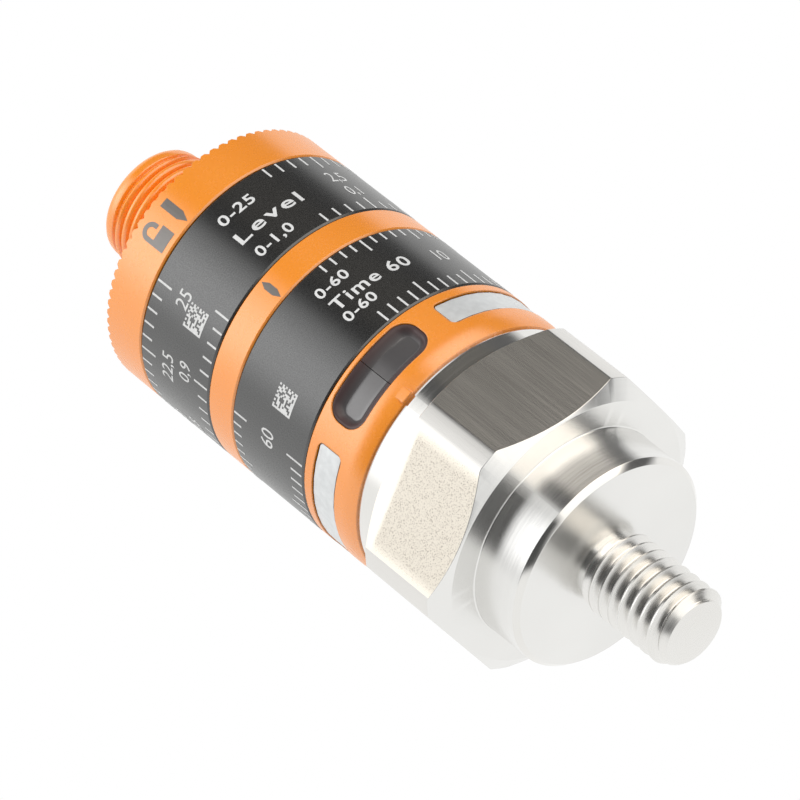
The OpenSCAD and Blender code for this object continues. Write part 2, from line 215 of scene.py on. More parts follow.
def polar(radius, angle, height):
    """Point in metres at a radius, an angle from the front and a height."""
    a = math.radians(angle)
    return (radius * math.sin(a) * MM, -radius * math.cos(a) * MM, height * MM)


def direction(azimuth, elevation):
    """Unit vector at an azimuth from the front and an elevation."""
    a, e = math.radians(azimuth), math.radians(elevation)
    return Vector((math.sin(a) * math.cos(e), -math.cos(a) * math.cos(e), math.sin(e)))


def clean(bm):
    """Joins points that coincide, and takes out faces without an area."""
    bmesh.ops.remove_doubles(bm, verts=bm.verts, dist=0.0005 * MM)
    bmesh.ops.dissolve_degenerate(bm, edges=bm.edges, dist=0.0002 * MM)


def finish_mesh(name, bm):
    """Clean mesh object from bm, with smooth faces and outward normals."""
    clean(bm)
    bmesh.ops.recalc_face_normals(bm, faces=bm.faces)
    mesh = bpy.data.meshes.new(name)
    bm.to_mesh(mesh)
    bm.free()
    mesh.shade_smooth()
    obj = bpy.data.objects.new(name, mesh)
    bpy.context.scene.collection.objects.link(obj)
    return obj


SHARP_ANGLE = 32


def weigh_normals(obj):
    """Lets the large faces set the shading, so that flats stay flat beside small roundings."""
    obj.data.set_sharp_from_angle(angle=math.radians(SHARP_ANGLE))
    weighted = obj.modifiers.new("normals", "WEIGHTED_NORMAL")
    weighted.keep_sharp = True


ROUND_STEPS = 4


def rounded(points):
    """Outline as (radius, height) pairs, with an arc at each point that has a third number, its radius."""
    outline = []
    last = len(points) - 1
    for i, (r, z, fillet) in enumerate(points):
        if not fillet or i in (0, last):
            outline.append((r, z))
            continue
        corner = Vector((r, z))
        before = (Vector(points[i - 1][:2]) - corner).normalized()
        after = (Vector(points[i + 1][:2]) - corner).normalized()
        half = before.angle(after) / 2
        centre = corner + (before + after).normalized() * fillet / math.sin(half)
        start = corner + before * fillet / math.tan(half) - centre
        end = corner + after * fillet / math.tan(half) - centre
        for k in range(ROUND_STEPS + 1):
            outline.append(tuple(centre + start.slerp(end, k / ROUND_STEPS).normalized() * fillet))
    return outline


def loft(name, columns, thread=None):
    """Mesh through columns of points that run round the axis.

    thread gives the first and last row of a helix and its rows per turn, because those rows
    meet the first column one turn further on.
    """
    bm = bmesh.new()
    grid = [[bm.verts.new(point) for point in column] for column in columns]
    rows = len(columns[0])
    for i, column in enumerate(grid):
        wraps = i == len(grid) - 1
        neighbour = grid[(i + 1) % len(grid)]
        for j in range(rows - 1):
            k = j
            k_next = j + 1
            if wraps and thread:
                first, last, turn = thread
                k = min(j + turn, last) if first <= j <= last else j
                k_next = min(j + 1 + turn, last) if first <= j + 1 <= last else j + 1
            corners = [column[j], neighbour[k], neighbour[k_next], column[j + 1]]
            if len(set(corners)) > 2:
                bm.faces.new(list(dict.fromkeys(corners)))
    return finish_mesh(name, bm)


def helix_rows(pitch, low_z, high_z, shape, phase=0.0):
    """Turns, as shares of a turn and depths, that cover a thread from low_z to high_z."""
    turns = math.ceil((high_z - low_z) / pitch) + 2
    return [(k + share + phase, depth) for k in range(turns) for share, depth in shape]


def helix_point(angle, row, pitch, low, high, crest_r, ends):
    """Radius and height of one row of a right-handed thread, held between its two ends.

    low and high are the (radius, height) pairs of the ends, and ends the slopes of the run-outs.
    """
    turn, depth = row
    z = low[1] - pitch + pitch * (turn + (angle + 180) / 360)
    if z <= low[1]:
        return low
    if z >= high[1]:
        return high
    limit = min(low[0] + (z - low[1]) * ends[0], high[0] + (high[1] - z) * ends[1])
    return (min(crest_r - depth, limit), z)


# Materials

def shader_of(material):
    """Main shader of a material."""
    return material.node_tree.nodes["Principled BSDF"]


def new_material(name, **inputs):
    """Material with plain numbers set on its shader."""
    material = bpy.data.materials.new(name)
    material.use_nodes = True
    for socket, value in inputs.items():
        shader_of(material).inputs[socket.replace("_", " ")].default_value = value
    return material


def node_of(owner, kind, **settings):
    """New node in the tree of a material or a world."""
    node = owner.node_tree.nodes.new(kind)
    for key, value in settings.items():
        setattr(node, key, value)
    return node


def wire(owner, source, target):
    """Links two sockets in the tree of a material or a world."""
    owner.node_tree.links.new(source, target)


def noise(material, scale, detail=2.0, stretch=(1, 1, 1)):
    """Noise over the object's own coordinates, in features per metre."""
    coords = node_of(material, "ShaderNodeTexCoord")
    mapping = node_of(material, "ShaderNodeMapping")
    mapping.inputs["Scale"].default_value = stretch
    texture = node_of(material, "ShaderNodeTexNoise")
    texture.inputs["Scale"].default_value = scale
    texture.inputs["Detail"].default_value = detail
    wire(material, coords.outputs["Object"], mapping.inputs["Vector"])
    wire(material, mapping.outputs["Vector"], texture.inputs["Vector"])
    return texture.outputs["Fac"]


def turning(material, scale):
    """Noise that follows the lathe: it changes with the radius and the height only."""
    coords = node_of(material, "ShaderNodeTexCoord")
    split = node_of(material, "ShaderNodeSeparateXYZ")
    flat = node_of(material, "ShaderNodeCombineXYZ")
    length = node_of(material, "ShaderNodeVectorMath", operation="LENGTH")
    joined = node_of(material, "ShaderNodeCombineXYZ")
    texture = node_of(material, "ShaderNodeTexNoise", noise_dimensions="2D")
    texture.inputs["Scale"].default_value = scale
    texture.inputs["Detail"].default_value = 3.0
    wire(material, coords.outputs["Object"], split.inputs["Vector"])
    wire(material, split.outputs["X"], flat.inputs["X"])
    wire(material, split.outputs["Y"], flat.inputs["Y"])
    wire(material, flat.outputs["Vector"], length.inputs["Vector"])
    wire(material, length.outputs["Value"], joined.inputs["X"])
    wire(material, split.outputs["Z"], joined.inputs["Y"])
    wire(material, joined.outputs["Vector"], texture.inputs["Vector"])
    return texture.outputs["Fac"]


def spread(owner, source, low, high, start=0.3, end=0.7):
    """Maps a value from the range start..end, by default that of a noise, to the range low..high."""
    node = node_of(owner, "ShaderNodeMapRange")
    node.inputs["From Min"].default_value = start
    node.inputs["From Max"].default_value = end
    node.inputs["To Min"].default_value = low
    node.inputs["To Max"].default_value = high
    wire(owner, source, node.inputs["Value"])
    return node.outputs["Result"]


def product(owner, first, second):
    """Product of two values."""
    node = node_of(owner, "ShaderNodeMath", operation="MULTIPLY")
    wire(owner, first, node.inputs[0])
    wire(owner, second, node.inputs[1])
    return node.outputs["Value"]


def colour_mix(owner, factor):
    """Two colour inputs and the output of a new node that mixes them by a factor."""
    node = node_of(owner, "ShaderNodeMix", data_type="RGBA")
    wire(owner, factor, node.inputs["Factor"])
    first, second = [socket for socket in node.inputs if socket.type == "RGBA"]
    result = [socket for socket in node.outputs if socket.type == "RGBA"][0]
    return first, second, result


def colour_between(material, factor, first, second):
    """Colour between two by a factor, on the shader's base colour."""
    low, high, colour = colour_mix(material, factor)
    low.default_value = (*first, 1)
    high.default_value = (*second, 1)
    wire(material, colour, shader_of(material).inputs["Base Color"])


def tint(material, source, first, second):
    """Colour between two by a noise."""
    colour_between(material, spread(material, source, 0, 1), first, second)


def roughen(material, source, low, high):
    """Roughness between two values by a noise."""
    wire(material, spread(material, source, low, high), shader_of(material).inputs["Roughness"])


def emboss(material, source, depth, edge=0.0):
    """Bump of a real depth in millimetres, with the piece's sharp edges shaded as if rounded to edge."""
    node = node_of(material, "ShaderNodeBump")
    node.inputs["Distance"].default_value = depth * MM
    wire(material, source, node.inputs["Height"])
    wire(material, node.outputs["Normal"], shader_of(material).inputs["Normal"])
    if edge:
        bevel = node_of(material, "ShaderNodeBevel", samples=6)
        bevel.inputs["Radius"].default_value = edge * MM
        wire(material, bevel.outputs["Normal"], node.inputs["Normal"])


def orange_plastic(name, edge):
    """Satin orange moulding, with its sharp edges shaded as if rounded to edge."""
    material = new_material(name, Roughness=0.27, IOR=2.2)
    tint(material, noise(material, 180), (0.99, 0.295, 0.003), (1.0, 0.31, 0.005))
    roughen(material, noise(material, 1500), 0.26, 0.28)
    emboss(material, noise(material, 4000), 0.0005, edge=edge)
    return material


def black_plastic():
    """Black moulding with a fine grain."""
    material = new_material("black_plastic", Roughness=0.28, IOR=2.1)
    tint(material, noise(material, 9500), (0.0015, 0.0016, 0.0017), (0.007, 0.007, 0.0073))
    roughen(material, noise(material, 8000), 0.24, 0.32)
    emboss(material, noise(material, 8000), 0.003, edge=0.05)
    return material


def turned_steel():
    """Steel with turning lines, which draw reflections out along the axis."""
    material = new_material(
        "turned_steel", Metallic=1.0, Roughness=0.24, Anisotropic=0.8, Anisotropic_Rotation=0.25)
    tangent = node_of(material, "ShaderNodeTangent", direction_type="RADIAL", axis="Z")
    wire(material, tangent.outputs["Tangent"], shader_of(material).inputs["Tangent"])
    tint(material, noise(material, 90), (0.79, 0.785, 0.77), (0.82, 0.815, 0.80))
    lines = turning(material, 6500)
    roughen(material, lines, 0.22, 0.26)
    emboss(material, lines, 0.00012)
    return material


def smooth_steel(name, roughness):
    """Steel without lines, with a little unevenness in its gloss."""
    material = new_material(name, Metallic=1.0, Roughness=roughness)
    tint(material, noise(material, 120), (0.77, 0.76, 0.735), (0.80, 0.79, 0.77))
    roughen(material, turning(material, 3000), roughness - 0.03, roughness + 0.03)
    return material


def ground_steel():
    """Steel with fine grinding lines along the axis."""
    material = new_material("ground_steel", Metallic=1.0, Roughness=0.2)
    lines = noise(material, 4500, 3.0, (1, 1, 0.02))
    tint(material, noise(material, 150), (0.74, 0.725, 0.70), (0.77, 0.755, 0.73))
    roughen(material, lines, 0.21, 0.26)
    emboss(material, lines, 0.00012)
    return material


def etched_steel():
    """Ground steel with a frosted, speckled field that fades out before the flat's top and sides."""
    material = new_material("etched_steel", Metallic=1.0, Roughness=0.4)
    coords = node_of(material, "ShaderNodeTexCoord")
    split = node_of(material, "ShaderNodeSeparateXYZ")
    wire(material, coords.outputs["Object"], split.inputs["Vector"])
    across = node_of(material, "ShaderNodeVectorMath", operation="DOT_PRODUCT")
    across.inputs[1].default_value = direction(ETCHED_FLAT + 90, 0)
    wire(material, coords.outputs["Object"], across.inputs[0])
    side = node_of(material, "ShaderNodeMath", operation="ABSOLUTE")
    wire(material, across.outputs["Value"], side.inputs[0])
    top_limits = ((ETCH_Z - ETCH_FADE_Z) * MM, (ETCH_Z + ETCH_FADE_Z) * MM)
    side_limits = (ETCH_HALF_W * MM, (ETCH_HALF_W + ETCH_FADE_W) * MM)
    field = product(
        material, spread(material, split.outputs["Z"], 1, 0, *top_limits),
        spread(material, side.outputs["Value"], 1, 0, *side_limits))
    grain = noise(material, 8500, 3.0)
    specks = product(material, field, spread(material, grain, 0.08, 1, 0.52, 0.68))
    colour_between(material, specks, (0.89, 0.834, 0.735), (0.45, 0.39, 0.33))
    wire(material, spread(material, field, 0.2, 0.42, 0, 1), shader_of(material).inputs["Roughness"])
    emboss(material, product(material, field, grain), 0.008)
    return material


def smoked_plastic(name, **finish):
    """Smoked plastic, deeper and redder in colour towards the window's rim: painted shade for the shadowed
    orange wall behind the lens.
    """
    material = new_material(name, **finish)
    coords = node_of(material, "ShaderNodeTexCoord")
    split = node_of(material, "ShaderNodeSeparateXYZ")
    rest = node_of(material, "ShaderNodeMath", operation="SUBTRACT")
    rest.inputs[0].default_value = ((RING_R - SIGN_SINK) * MM) ** 2
    surface = node_of(material, "ShaderNodeMath", operation="SQRT")
    depth = node_of(material, "ShaderNodeMath", operation="ADD")
    wire(material, coords.outputs["Object"], split.inputs["Vector"])
    wire(material, product(material, split.outputs["X"], split.outputs["X"]), rest.inputs[1])
    wire(material, rest.outputs["Value"], surface.inputs[0])
    wire(material, surface.outputs["Value"], depth.inputs[0])
    wire(material, split.outputs["Y"], depth.inputs[1])
    # Painted shade: the colour turns darker and redder near the rim, standing for the shadowed orange wall
    # seen through the lens
    share = spread(material, depth.outputs["Value"], 0, 1, DISH_PAINTED_SHADE_D * MM, DISH_D * MM)
    colour_between(material, share, (0.075, 0.048, 0.048), (0.085, 0.080, 0.081))
    emboss(material, noise(material, 6000), 0.003)
    return material


def plain_material(name, colour, roughness, **more):
    """Material with a little grain, for small pieces."""
    material = new_material(name, Roughness=roughness, **more)
    darker = tuple(0.88 * c for c in colour)
    tint(material, noise(material, 1500), darker, colour)
    emboss(material, noise(material, 6000), 0.003)
    return material


# Pieces that replace CAD nodes

def hex_radius(angle):
    """Radius of the hexagon at an angle, with its turned lands, rounded where the two meet."""
    flat = FLAT_R / math.cos(math.radians(angle % 60 - 30))
    near = max(HEX_ROUND - abs(flat - LAND_R), 0) / HEX_ROUND
    return min(flat, LAND_R) - near * near * HEX_ROUND / 4


LAND_STEPS = (-1.9, -0.65, 0, 0.65, 1.9)
LAND_CLEAR = 3.4


def base_columns():
    """Angles of the base's columns, each with whether it lies in the notch behind the lip.

    The columns stand closer at the edges of the lands, but not so close that the collar's faces
    become too small for weighted normals.
    """
    land_edge = math.degrees(math.acos(FLAT_R / LAND_R))
    edges = [middle + side * land_edge for middle in range(-150, 180, 60) for side in (-1, 1)]
    angles = {edge + step for edge in edges for step in LAND_STEPS}
    for angle in range(-180, 180, 2):
        if all(abs(angle - edge) > LAND_CLEAR for edge in edges):
            angles.add(angle)
    notch = math.degrees(math.asin(NOTCH_W / 2 / LIP_R))
    columns = [(angle, abs(angle) < notch) for angle in angles]
    columns += [(side * notch, inside) for side in (-1, 1) for inside in (True, False)]
    return sorted(columns, key=lambda c: (c[0], c[1] if c[0] < 0 else not c[1]))


STUD_THREAD = [
    (0.00, 0.0), (0.0625, 0.0), (0.40, 0.68), (0.45, 0.735),
    (0.50, THREAD_DEPTH), (0.55, 0.735), (0.60, 0.68), (0.9375, 0.0),
]


def turned_base():
    """Stainless base in one piece: stud with its thread, collar, hexagon and lip."""
    tip = (STUD_TIP_R, TIP_Z + EDGE)
    relief = (RELIEF_R, RELIEF_Z)
    turns = helix_rows(STUD_PITCH, tip[1], relief[1], STUD_THREAD, STUD_PHASE)
    columns = []
    for angle, in_notch in base_columns():
        key_z = LIP_Z - NOTCH_H if in_notch else LIP_Z
        hex_r = hex_radius(angle)
        bevel_h = HEX_C_H * (hex_r - HEX_END_R) / (LAND_R - HEX_END_R)
        outline = [(0, TIP_Z), (STUD_TIP_R - EDGE, TIP_Z)]
        outline += [helix_point(angle, row, STUD_PITCH, tip, relief, STUD_R, (1, 1)) for row in turns]
        outline += rounded([
            (RELIEF_R, 0, 0), (COLLAR_R - COLLAR_C, 0, EDGE), (COLLAR_R, COLLAR_C, EDGE),
            (COLLAR_R, HEX_Z, COLLAR_FILLET), (HEX_END_R, HEX_Z, HEX_ROUND),
            (hex_r, HEX_Z + bevel_h, HEX_ROUND), (hex_r, HEX_TOP_Z - bevel_h, HEX_ROUND),
            (HEX_END_R, HEX_TOP_Z, LIP_FILLET), (LIP_R, HEX_TOP_Z, LIP_FILLET),
            (LIP_R, LIP_Z - LIP_C_H, EDGE), (LIP_R - LIP_C_W, LIP_Z, 0), (NOTCH_R, LIP_Z, 0),
            (NOTCH_R, key_z, 0), (CUP_R, key_z, 0), (CUP_R, CUP_Z, 0), (0, CUP_Z, 0),
        ])
        columns.append([polar(r, angle, z) for r, z in outline])
    base = loft("turned_base", columns, thread=(2, 1 + len(turns), len(STUD_THREAD)))
    weigh_normals(base)
    return base


CHAMFER_FALL = 0.71
FALL_TOLERANCE = 0.1
UPRIGHT_FALL = 0.3
SAME_FLAT = 0.9995


def base_finish(face):
    """Name of the finish that a face of the base has, by its height and by how far it faces downwards."""
    z = face.center.z / MM
    fall = -face.normal.z
    if z < RELIEF_Z:
        return "rolled"
    on_chamfer = 0 < z < COLLAR_C and abs(fall - CHAMFER_FALL) < FALL_TOLERANCE
    if z > HEX_TOP_Z + EDGE or on_chamfer:
        return "polished"
    upright = abs(fall) < UPRIGHT_FALL
    if not upright or z <= HEX_Z:
        return "turned"
    on_etched = face.normal.dot(direction(ETCHED_FLAT, 0)) > SAME_FLAT
    return "etched" if on_etched else "ground"


def finish_base(base, finishes):
    """Gives each face of the base one of the finishes, which are materials by name."""
    for material in finishes.values():
        base.data.materials.append(material)
    names = list(finishes)
    for face in base.data.polygons:
        face.material_index = names.index(base_finish(face))


BARREL_THREAD = [
    (0.00, 0.0), (0.12, 0.01), (0.22, 0.05), (0.31, 0.13), (0.38, 0.25), (0.44, 0.40),
    (0.50, BARREL_DEPTH), (0.56, 0.40), (0.62, 0.25), (0.69, 0.13), (0.78, 0.05), (0.88, 0.01),
]


def head_columns():
    """Angles of the connector's columns, each with whether it lies in the rib at the back."""
    rib = math.degrees(math.asin(RIB_W / 2 / SOCKET_R))
    edge = 180 - rib
    columns = [(angle, abs(angle) > edge) for angle in range(-180, 180, 3)]
    columns += [(side * edge, inside) for side in (-1, 1) for inside in (True, False)]
    return sorted(columns, key=lambda c: (c[0], not c[1] if c[0] < 0 else c[1]))


def threaded_head():
    """Connector head in one piece: spigot, flange, barrel with its thread, and socket with a rib."""
    root = (BARREL_ROOT_R, BARREL_Z + RUN_IN)
    end = (BARREL_ROOT_R, COLLET_Z - RUN_OUT)
    turns = helix_rows(BARREL_PITCH, root[1], end[1], BARREL_THREAD)
    columns = []
    for angle, in_rib in head_columns():
        rib_r = SOCKET_R - RIB_D if in_rib else SOCKET_R
        outline = rounded([
            (SOCKET_R, HEAD_Z, 0), (SPIGOT_R, HEAD_Z, SPIGOT_ROUND), (SPIGOT_R, CORE_TOP_Z, 0),
            (FLANGE_R, CORE_TOP_Z, FLANGE_EDGE), (FLANGE_R, BARREL_Z, FLANGE_ROUND),
            (BARREL_ROOT_R, BARREL_Z, BARREL_FILLET), (BARREL_ROOT_R, root[1], 0),
        ])
        first = len(outline)
        outline += [helix_point(angle, row, BARREL_PITCH, root, end, BARREL_R, (2, 1)) for row in turns]
        outline += rounded([
            (BARREL_ROOT_R, COLLET_Z, 0), (COLLET_R, COLLET_Z + COLLET_C, COLLET_ROUND),
            (COLLET_R, END_Z, RIM_ROUND), (SOCKET_R + MOUTH_C_W, END_Z, EDGE),
            (SOCKET_R, END_Z - MOUTH_C_H, MOUTH_ROUND), (SOCKET_R, END_Z - RIB_SINK, 0),
            (rib_r, END_Z - RIB_SINK, 0), (rib_r, CARRIER_TOP_Z, 0), (SOCKET_R, CARRIER_TOP_Z, 0),
            (SOCKET_R, HEAD_Z, 0),
        ])
        columns.append([polar(r, angle, z) for r, z in outline])
    head = loft("threaded_head", columns, thread=(first, first + len(turns) - 1, len(BARREL_THREAD)))
    weigh_normals(head)
    return head


CORNER_STEPS = 6
SIDE_STEPS = 8
SLOPE_STEPS = 10
FACE_STEPS = 4


def rounded_outline(width, height, radius):
    """Rectangle round the origin with round corners, from the right top one anticlockwise."""
    arcs = []
    for (sx, sy), start in zip(((1, 1), (-1, 1), (-1, -1), (1, -1)), (0, 90, 180, 270)):
        middle = Vector((sx * (width / 2 - radius), sy * (height / 2 - radius)))
        turns = [math.radians(start + 90 * k / CORNER_STEPS) for k in range(CORNER_STEPS + 1)]
        arcs.append([middle + radius * Vector((math.cos(a), math.sin(a))) for a in turns])
    outline = []
    for arc, following in zip(arcs, arcs[1:] + arcs[:1]):
        outline += arc
        outline += [arc[-1].lerp(following[0], k / SIDE_STEPS) for k in range(1, SIDE_STEPS)]
    return outline


def plate_point(angle, x, z, depth):
    """Point of a plate let into the lower ring: x runs across it, and depth is measured from its face."""
    out = math.sqrt((RING_R - SIGN_SINK) ** 2 - x ** 2) - depth
    return (direction(angle, 0) * out + direction(angle + 90, 0) * x + Vector((0, 0, z))) * MM


def edge_profile(edge, depth):
    """Insets and depths of a plate's side, with its front edge rounded."""
    turns = [math.radians(90 * k / ROUND_STEPS) for k in range(ROUND_STEPS + 1)]
    return [(0, depth)] + [(edge * (1 - math.cos(a)), edge * (1 - math.sin(a))) for a in turns]


def dish_profile():
    """Insets and depths of the window's side, its rim and the soft slope down to its sunken face."""
    slope = []
    for k in range(SLOPE_STEPS + 1):
        share = k / SLOPE_STEPS
        slope.append((DISH_RIM + DISH_SLOPE * share, DISH_D * (1 - math.cos(math.pi * share)) / 2))
    return edge_profile(DISH_RIM / 2, LENS_D) + slope


def inlay(angle, z_middle, size, corner, profile):
    """Mesh of a plate let into the lower ring. The profile gives its side as insets and depths."""
    width, height = size
    rim, face = profile[-1]
    flat = [(rim + (height / 2 - rim) * k / FACE_STEPS, face) for k in range(1, FACE_STEPS + 1)]
    bm = bmesh.new()
    loops = []
    for inset, sink in profile + flat:
        outline = rounded_outline(width - 2 * inset, height - 2 * inset, max(corner - inset, 0))
        loops.append([bm.verts.new(plate_point(angle, x, z_middle + z, sink)) for x, z in outline])
    for low, high in zip(loops, loops[1:]):
        for i in range(len(low)):
            j = (i + 1) % len(low)
            bm.faces.new((low[i], low[j], high[j], high[i]))
    bm.faces.new(list(reversed(loops[0])))
    clean(bm)
    return bm


def window_lens(node, side):
    """Half of the dished signal window, with the light guide behind it."""
    left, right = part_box("power_lens")[0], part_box("output_lens")[1]
    low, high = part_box(node)
    z_middle = (low.z + high.z) / 2 / MM
    size = ((right.x - left.x) / MM, (high.z - low.z) / MM)
    bm = inlay(0, z_middle, size, LENS_C, dish_profile())
    split = (side * SEAM / 2 * MM, 0, 0)
    whole = bm.verts[:] + bm.edges[:] + bm.faces[:]
    bmesh.ops.bisect_plane(bm, geom=whole, plane_co=split, plane_no=(-side, 0, 0), clear_outer=True)
    bmesh.ops.holes_fill(bm, edges=[e for e in bm.edges if e.is_boundary], sides=0)
    start_y = -(RING_R - SIGN_SINK - LENS_D)
    end_y = high.y / MM
    middle = Vector(((low.x + high.x) / 2, (start_y + end_y) / 2 * MM, z_middle * MM))
    bmesh.ops.create_cone(
        bm, cap_ends=True, segments=32, radius1=GUIDE_R * MM, radius2=GUIDE_R * MM,
        depth=(end_y - start_y) * MM,
        matrix=Matrix.Translation(middle) @ Matrix.Rotation(math.radians(90), 4, "X"))
    lens = finish_mesh(node + "_window", bm)
    weigh_normals(lens)
    return lens


def finish_lens(lens, clear, rim):
    """Gives the window's sunken face and the slope round it their own gloss."""
    lens.data.materials.append(clear)
    lens.data.materials.append(rim)
    for face in lens.data.polygons:
        x, y = face.center.xy / MM
        if math.sqrt((RING_R - SIGN_SINK) ** 2 - x ** 2) + y < DISH_FACE_D:
            face.material_index = 1


def label(node, side):
    """Bare label plate on one side of the window."""
    z_middle = (bottom(node) + top(node)) / 2
    profile = edge_profile(LABEL_EDGE, LABEL_D)
    bm = inlay(side * LABEL_ANGLE, z_middle, (LABEL_W, LABEL_H), LABEL_C, profile)
    plate = finish_mesh(node + "_plate", bm)
    weigh_normals(plate)
    return plate


FACES_OUT = 0.985


def finish_label(plate, face, edge):
    """Gives a label's face its finish, and its cut edge a painted shade: near black, for the shadowed gap
    round the plate.
    """
    plate.data.materials.append(face)
    plate.data.materials.append(edge)
    for polygon in plate.data.polygons:
        outward = Vector((*polygon.center.xy, 0)).normalized()
        # Faces that don't face outwards get the painted gap shade
        if polygon.normal.dot(outward) < FACES_OUT:
            polygon.material_index = 1


# Print and marks

def wrap(bm):
    """Bends a flat mesh in millimetres round the rings: x goes round, y along the axis and z outwards."""
    for vert in bm.verts:
        x, y, z = vert.co
        vert.co = polar(RING_R + z, math.degrees(x / RING_R), y)


def add_plate(bm, points):
    """Flat plate with that outline, from just under the surface to the print's thickness."""
    low = [bm.verts.new((x, y, -PRINT_SINK)) for x, y in points]
    high = [bm.verts.new((x, y, PRINT_T)) for x, y in points]
    bm.faces.new(high)
    bm.faces.new(list(reversed(low)))
    for i in range(len(points)):
        j = (i + 1) % len(points)
        bm.faces.new((low[i], low[j], high[j], high[i]))


def slice_across(bm):
    """Cuts a flat mesh into narrow strips, so that it can bend."""
    xs = [v.co.x for v in bm.verts]
    x = math.ceil(min(xs) / STRIP_W) * STRIP_W
    while x < max(xs):
        geometry = bm.verts[:] + bm.edges[:] + bm.faces[:]
        bmesh.ops.bisect_plane(bm, geom=geometry, dist=1e-5, plane_co=(x, 0, 0), plane_no=(1, 0, 0))
        x += STRIP_W


def at(angle):
    """Distance round the rings of an angle from the front."""
    return math.radians(angle) * RING_R


def add_block(bm, x_from, x_to, z_from, z_to):
    """Flat rectangle between two distances round the rings and two heights."""
    add_plate(bm, [(x_from, z_from), (x_to, z_from), (x_to, z_to), (x_from, z_to)])


def scale_ticks(bm, start, pitch, count, edge_z, lengths):
    """Ticks of a scale from one edge of a ring, with every fifth one long."""
    long, short = lengths
    for k in range(1, count + 1):
        x = at(start + pitch * k)
        add_block(bm, x - TICK_W / 2, x + TICK_W / 2, edge_z, edge_z + (short if k % LONG_EVERY else long))


def digit_height():
    """Height of a nought at size 1, which the sizes of the numbers are worked out from."""
    curve = bpy.data.curves.new("measure", "FONT")
    curve.body = "0"
    obj = bpy.data.objects.new("measure", curve)
    bpy.context.scene.collection.objects.link(obj)
    bpy.context.view_layer.update()
    height = obj.dimensions.y
    bpy.data.objects.remove(obj)
    return height


DIGIT_H = digit_height()


def add_text(bm, text, angle, z, height, width=None, bold=0.0, spacing=1.0):
    """Text centred on an angle and on z. Height is that of its digits, and a width can be given."""
    curve = bpy.data.curves.new("text", "FONT")
    curve.body = text
    curve.size = height / DIGIT_H
    curve.extrude = (PRINT_T + PRINT_SINK) / 2
    curve.offset = bold
    curve.space_character = spacing
    curve.resolution_u = 4
    obj = bpy.data.objects.new("text", curve)
    bpy.context.scene.collection.objects.link(obj)
    bpy.context.view_layer.update()
    mesh = bpy.data.meshes.new_from_object(obj)
    letters = bmesh.new()
    letters.from_mesh(mesh)
    bpy.data.objects.remove(obj)
    bpy.data.meshes.remove(mesh)
    xs = [v.co.x for v in letters.verts]
    middle = (min(xs) + max(xs)) / 2
    scale = width / (max(xs) - min(xs)) if width else NUMBER_SQUEEZE
    for vert in letters.verts:
        vert.co.x = (vert.co.x - middle) * scale + at(angle)
        vert.co.y += z - height / 2
        vert.co.z += (PRINT_T - PRINT_SINK) / 2
    bmesh.ops.remove_doubles(letters, verts=letters.verts, dist=1e-4)
    slice_across(letters)
    joined = bpy.data.meshes.new("letters")
    letters.to_mesh(joined)
    letters.free()
    bm.from_mesh(joined)
    bpy.data.meshes.remove(joined)


def add_words(bm, ring_z, words):
    """Bold lines of print, each with its angle, row, height, width and spacing."""
    for text, angle, row, height, width, spacing in words:
        add_text(bm, text, angle, ring_z + row, height, width, BOLD, spacing)


def add_field(bm, angle, z):
    """Square field of filled and bare cells that says nothing, with two full and two broken sides."""
    cell = FIELD_SIZE / FIELD_CELLS
    last = FIELD_CELLS - 1
    for i in range(FIELD_CELLS):
        for j in range(FIELD_CELLS):
            bare = (5 * i * i + 3 * j * j * i + 7 * i * j + 2 * j) % 11 > 5
            if last in (i, j):
                bare = (i + j) % 2
            if bare and i and j:
                continue
            x = at(angle) - FIELD_SIZE / 2 + i * cell
            low = z - FIELD_SIZE / 2 + j * cell
            add_block(bm, x, x + cell, low, low + cell)


def printed(name, bm):
    """Piece of print from its flat mesh."""
    wrap(bm)
    obj = finish_mesh(name, bm)
    obj.data.shade_flat()
    return obj


def level_print():
    """Upper ring's print: a scale up to 25 along one edge and a scale up to 1 along the other."""
    bm = bmesh.new()
    scale_ticks(
        bm, LEVEL_START, LEVEL_UPPER_PITCH, LEVEL_TICKS, LEVEL_TOP_Z - TICK_INSET, LEVEL_UPPER_LENGTHS)
    scale_ticks(
        bm, LEVEL_START, LEVEL_LOWER_PITCH, LEVEL_TICKS, LEVEL_Z + TICK_INSET, LEVEL_LOWER_LENGTHS)
    for k in range(LONG_EVERY, LEVEL_TICKS + 1, LONG_EVERY):
        value = f"{k / 2:.1f}".rstrip("0").rstrip(".").replace(".", ",")
        angle = LEVEL_START + LEVEL_UPPER_PITCH * k
        add_text(bm, value, angle, LEVEL_Z + LEVEL_UPPER_ROW, LEVEL_UPPER_SIZE)
    for k in range(LONG_EVERY, LEVEL_TICKS, LONG_EVERY):
        angle = LEVEL_START + LEVEL_LOWER_PITCH * k
        add_text(bm, f"0,{k // LONG_EVERY}", angle, LEVEL_Z + LEVEL_LOWER_ROW, LEVEL_LOWER_SIZE)
    add_words(bm, LEVEL_Z, (
        ("0-25", 15.6, 7.29, 1.2, 4.0, 1.1),
        ("Level", 22.0, 4.54, 1.45, 7.4, 1.2),
        ("0-1,0", 16.0, 1.99, 1.2, 4.2, 1.1),
    ))
    add_field(bm, -27.8, LEVEL_Z + 3.64)
    return printed("level_print", bm)


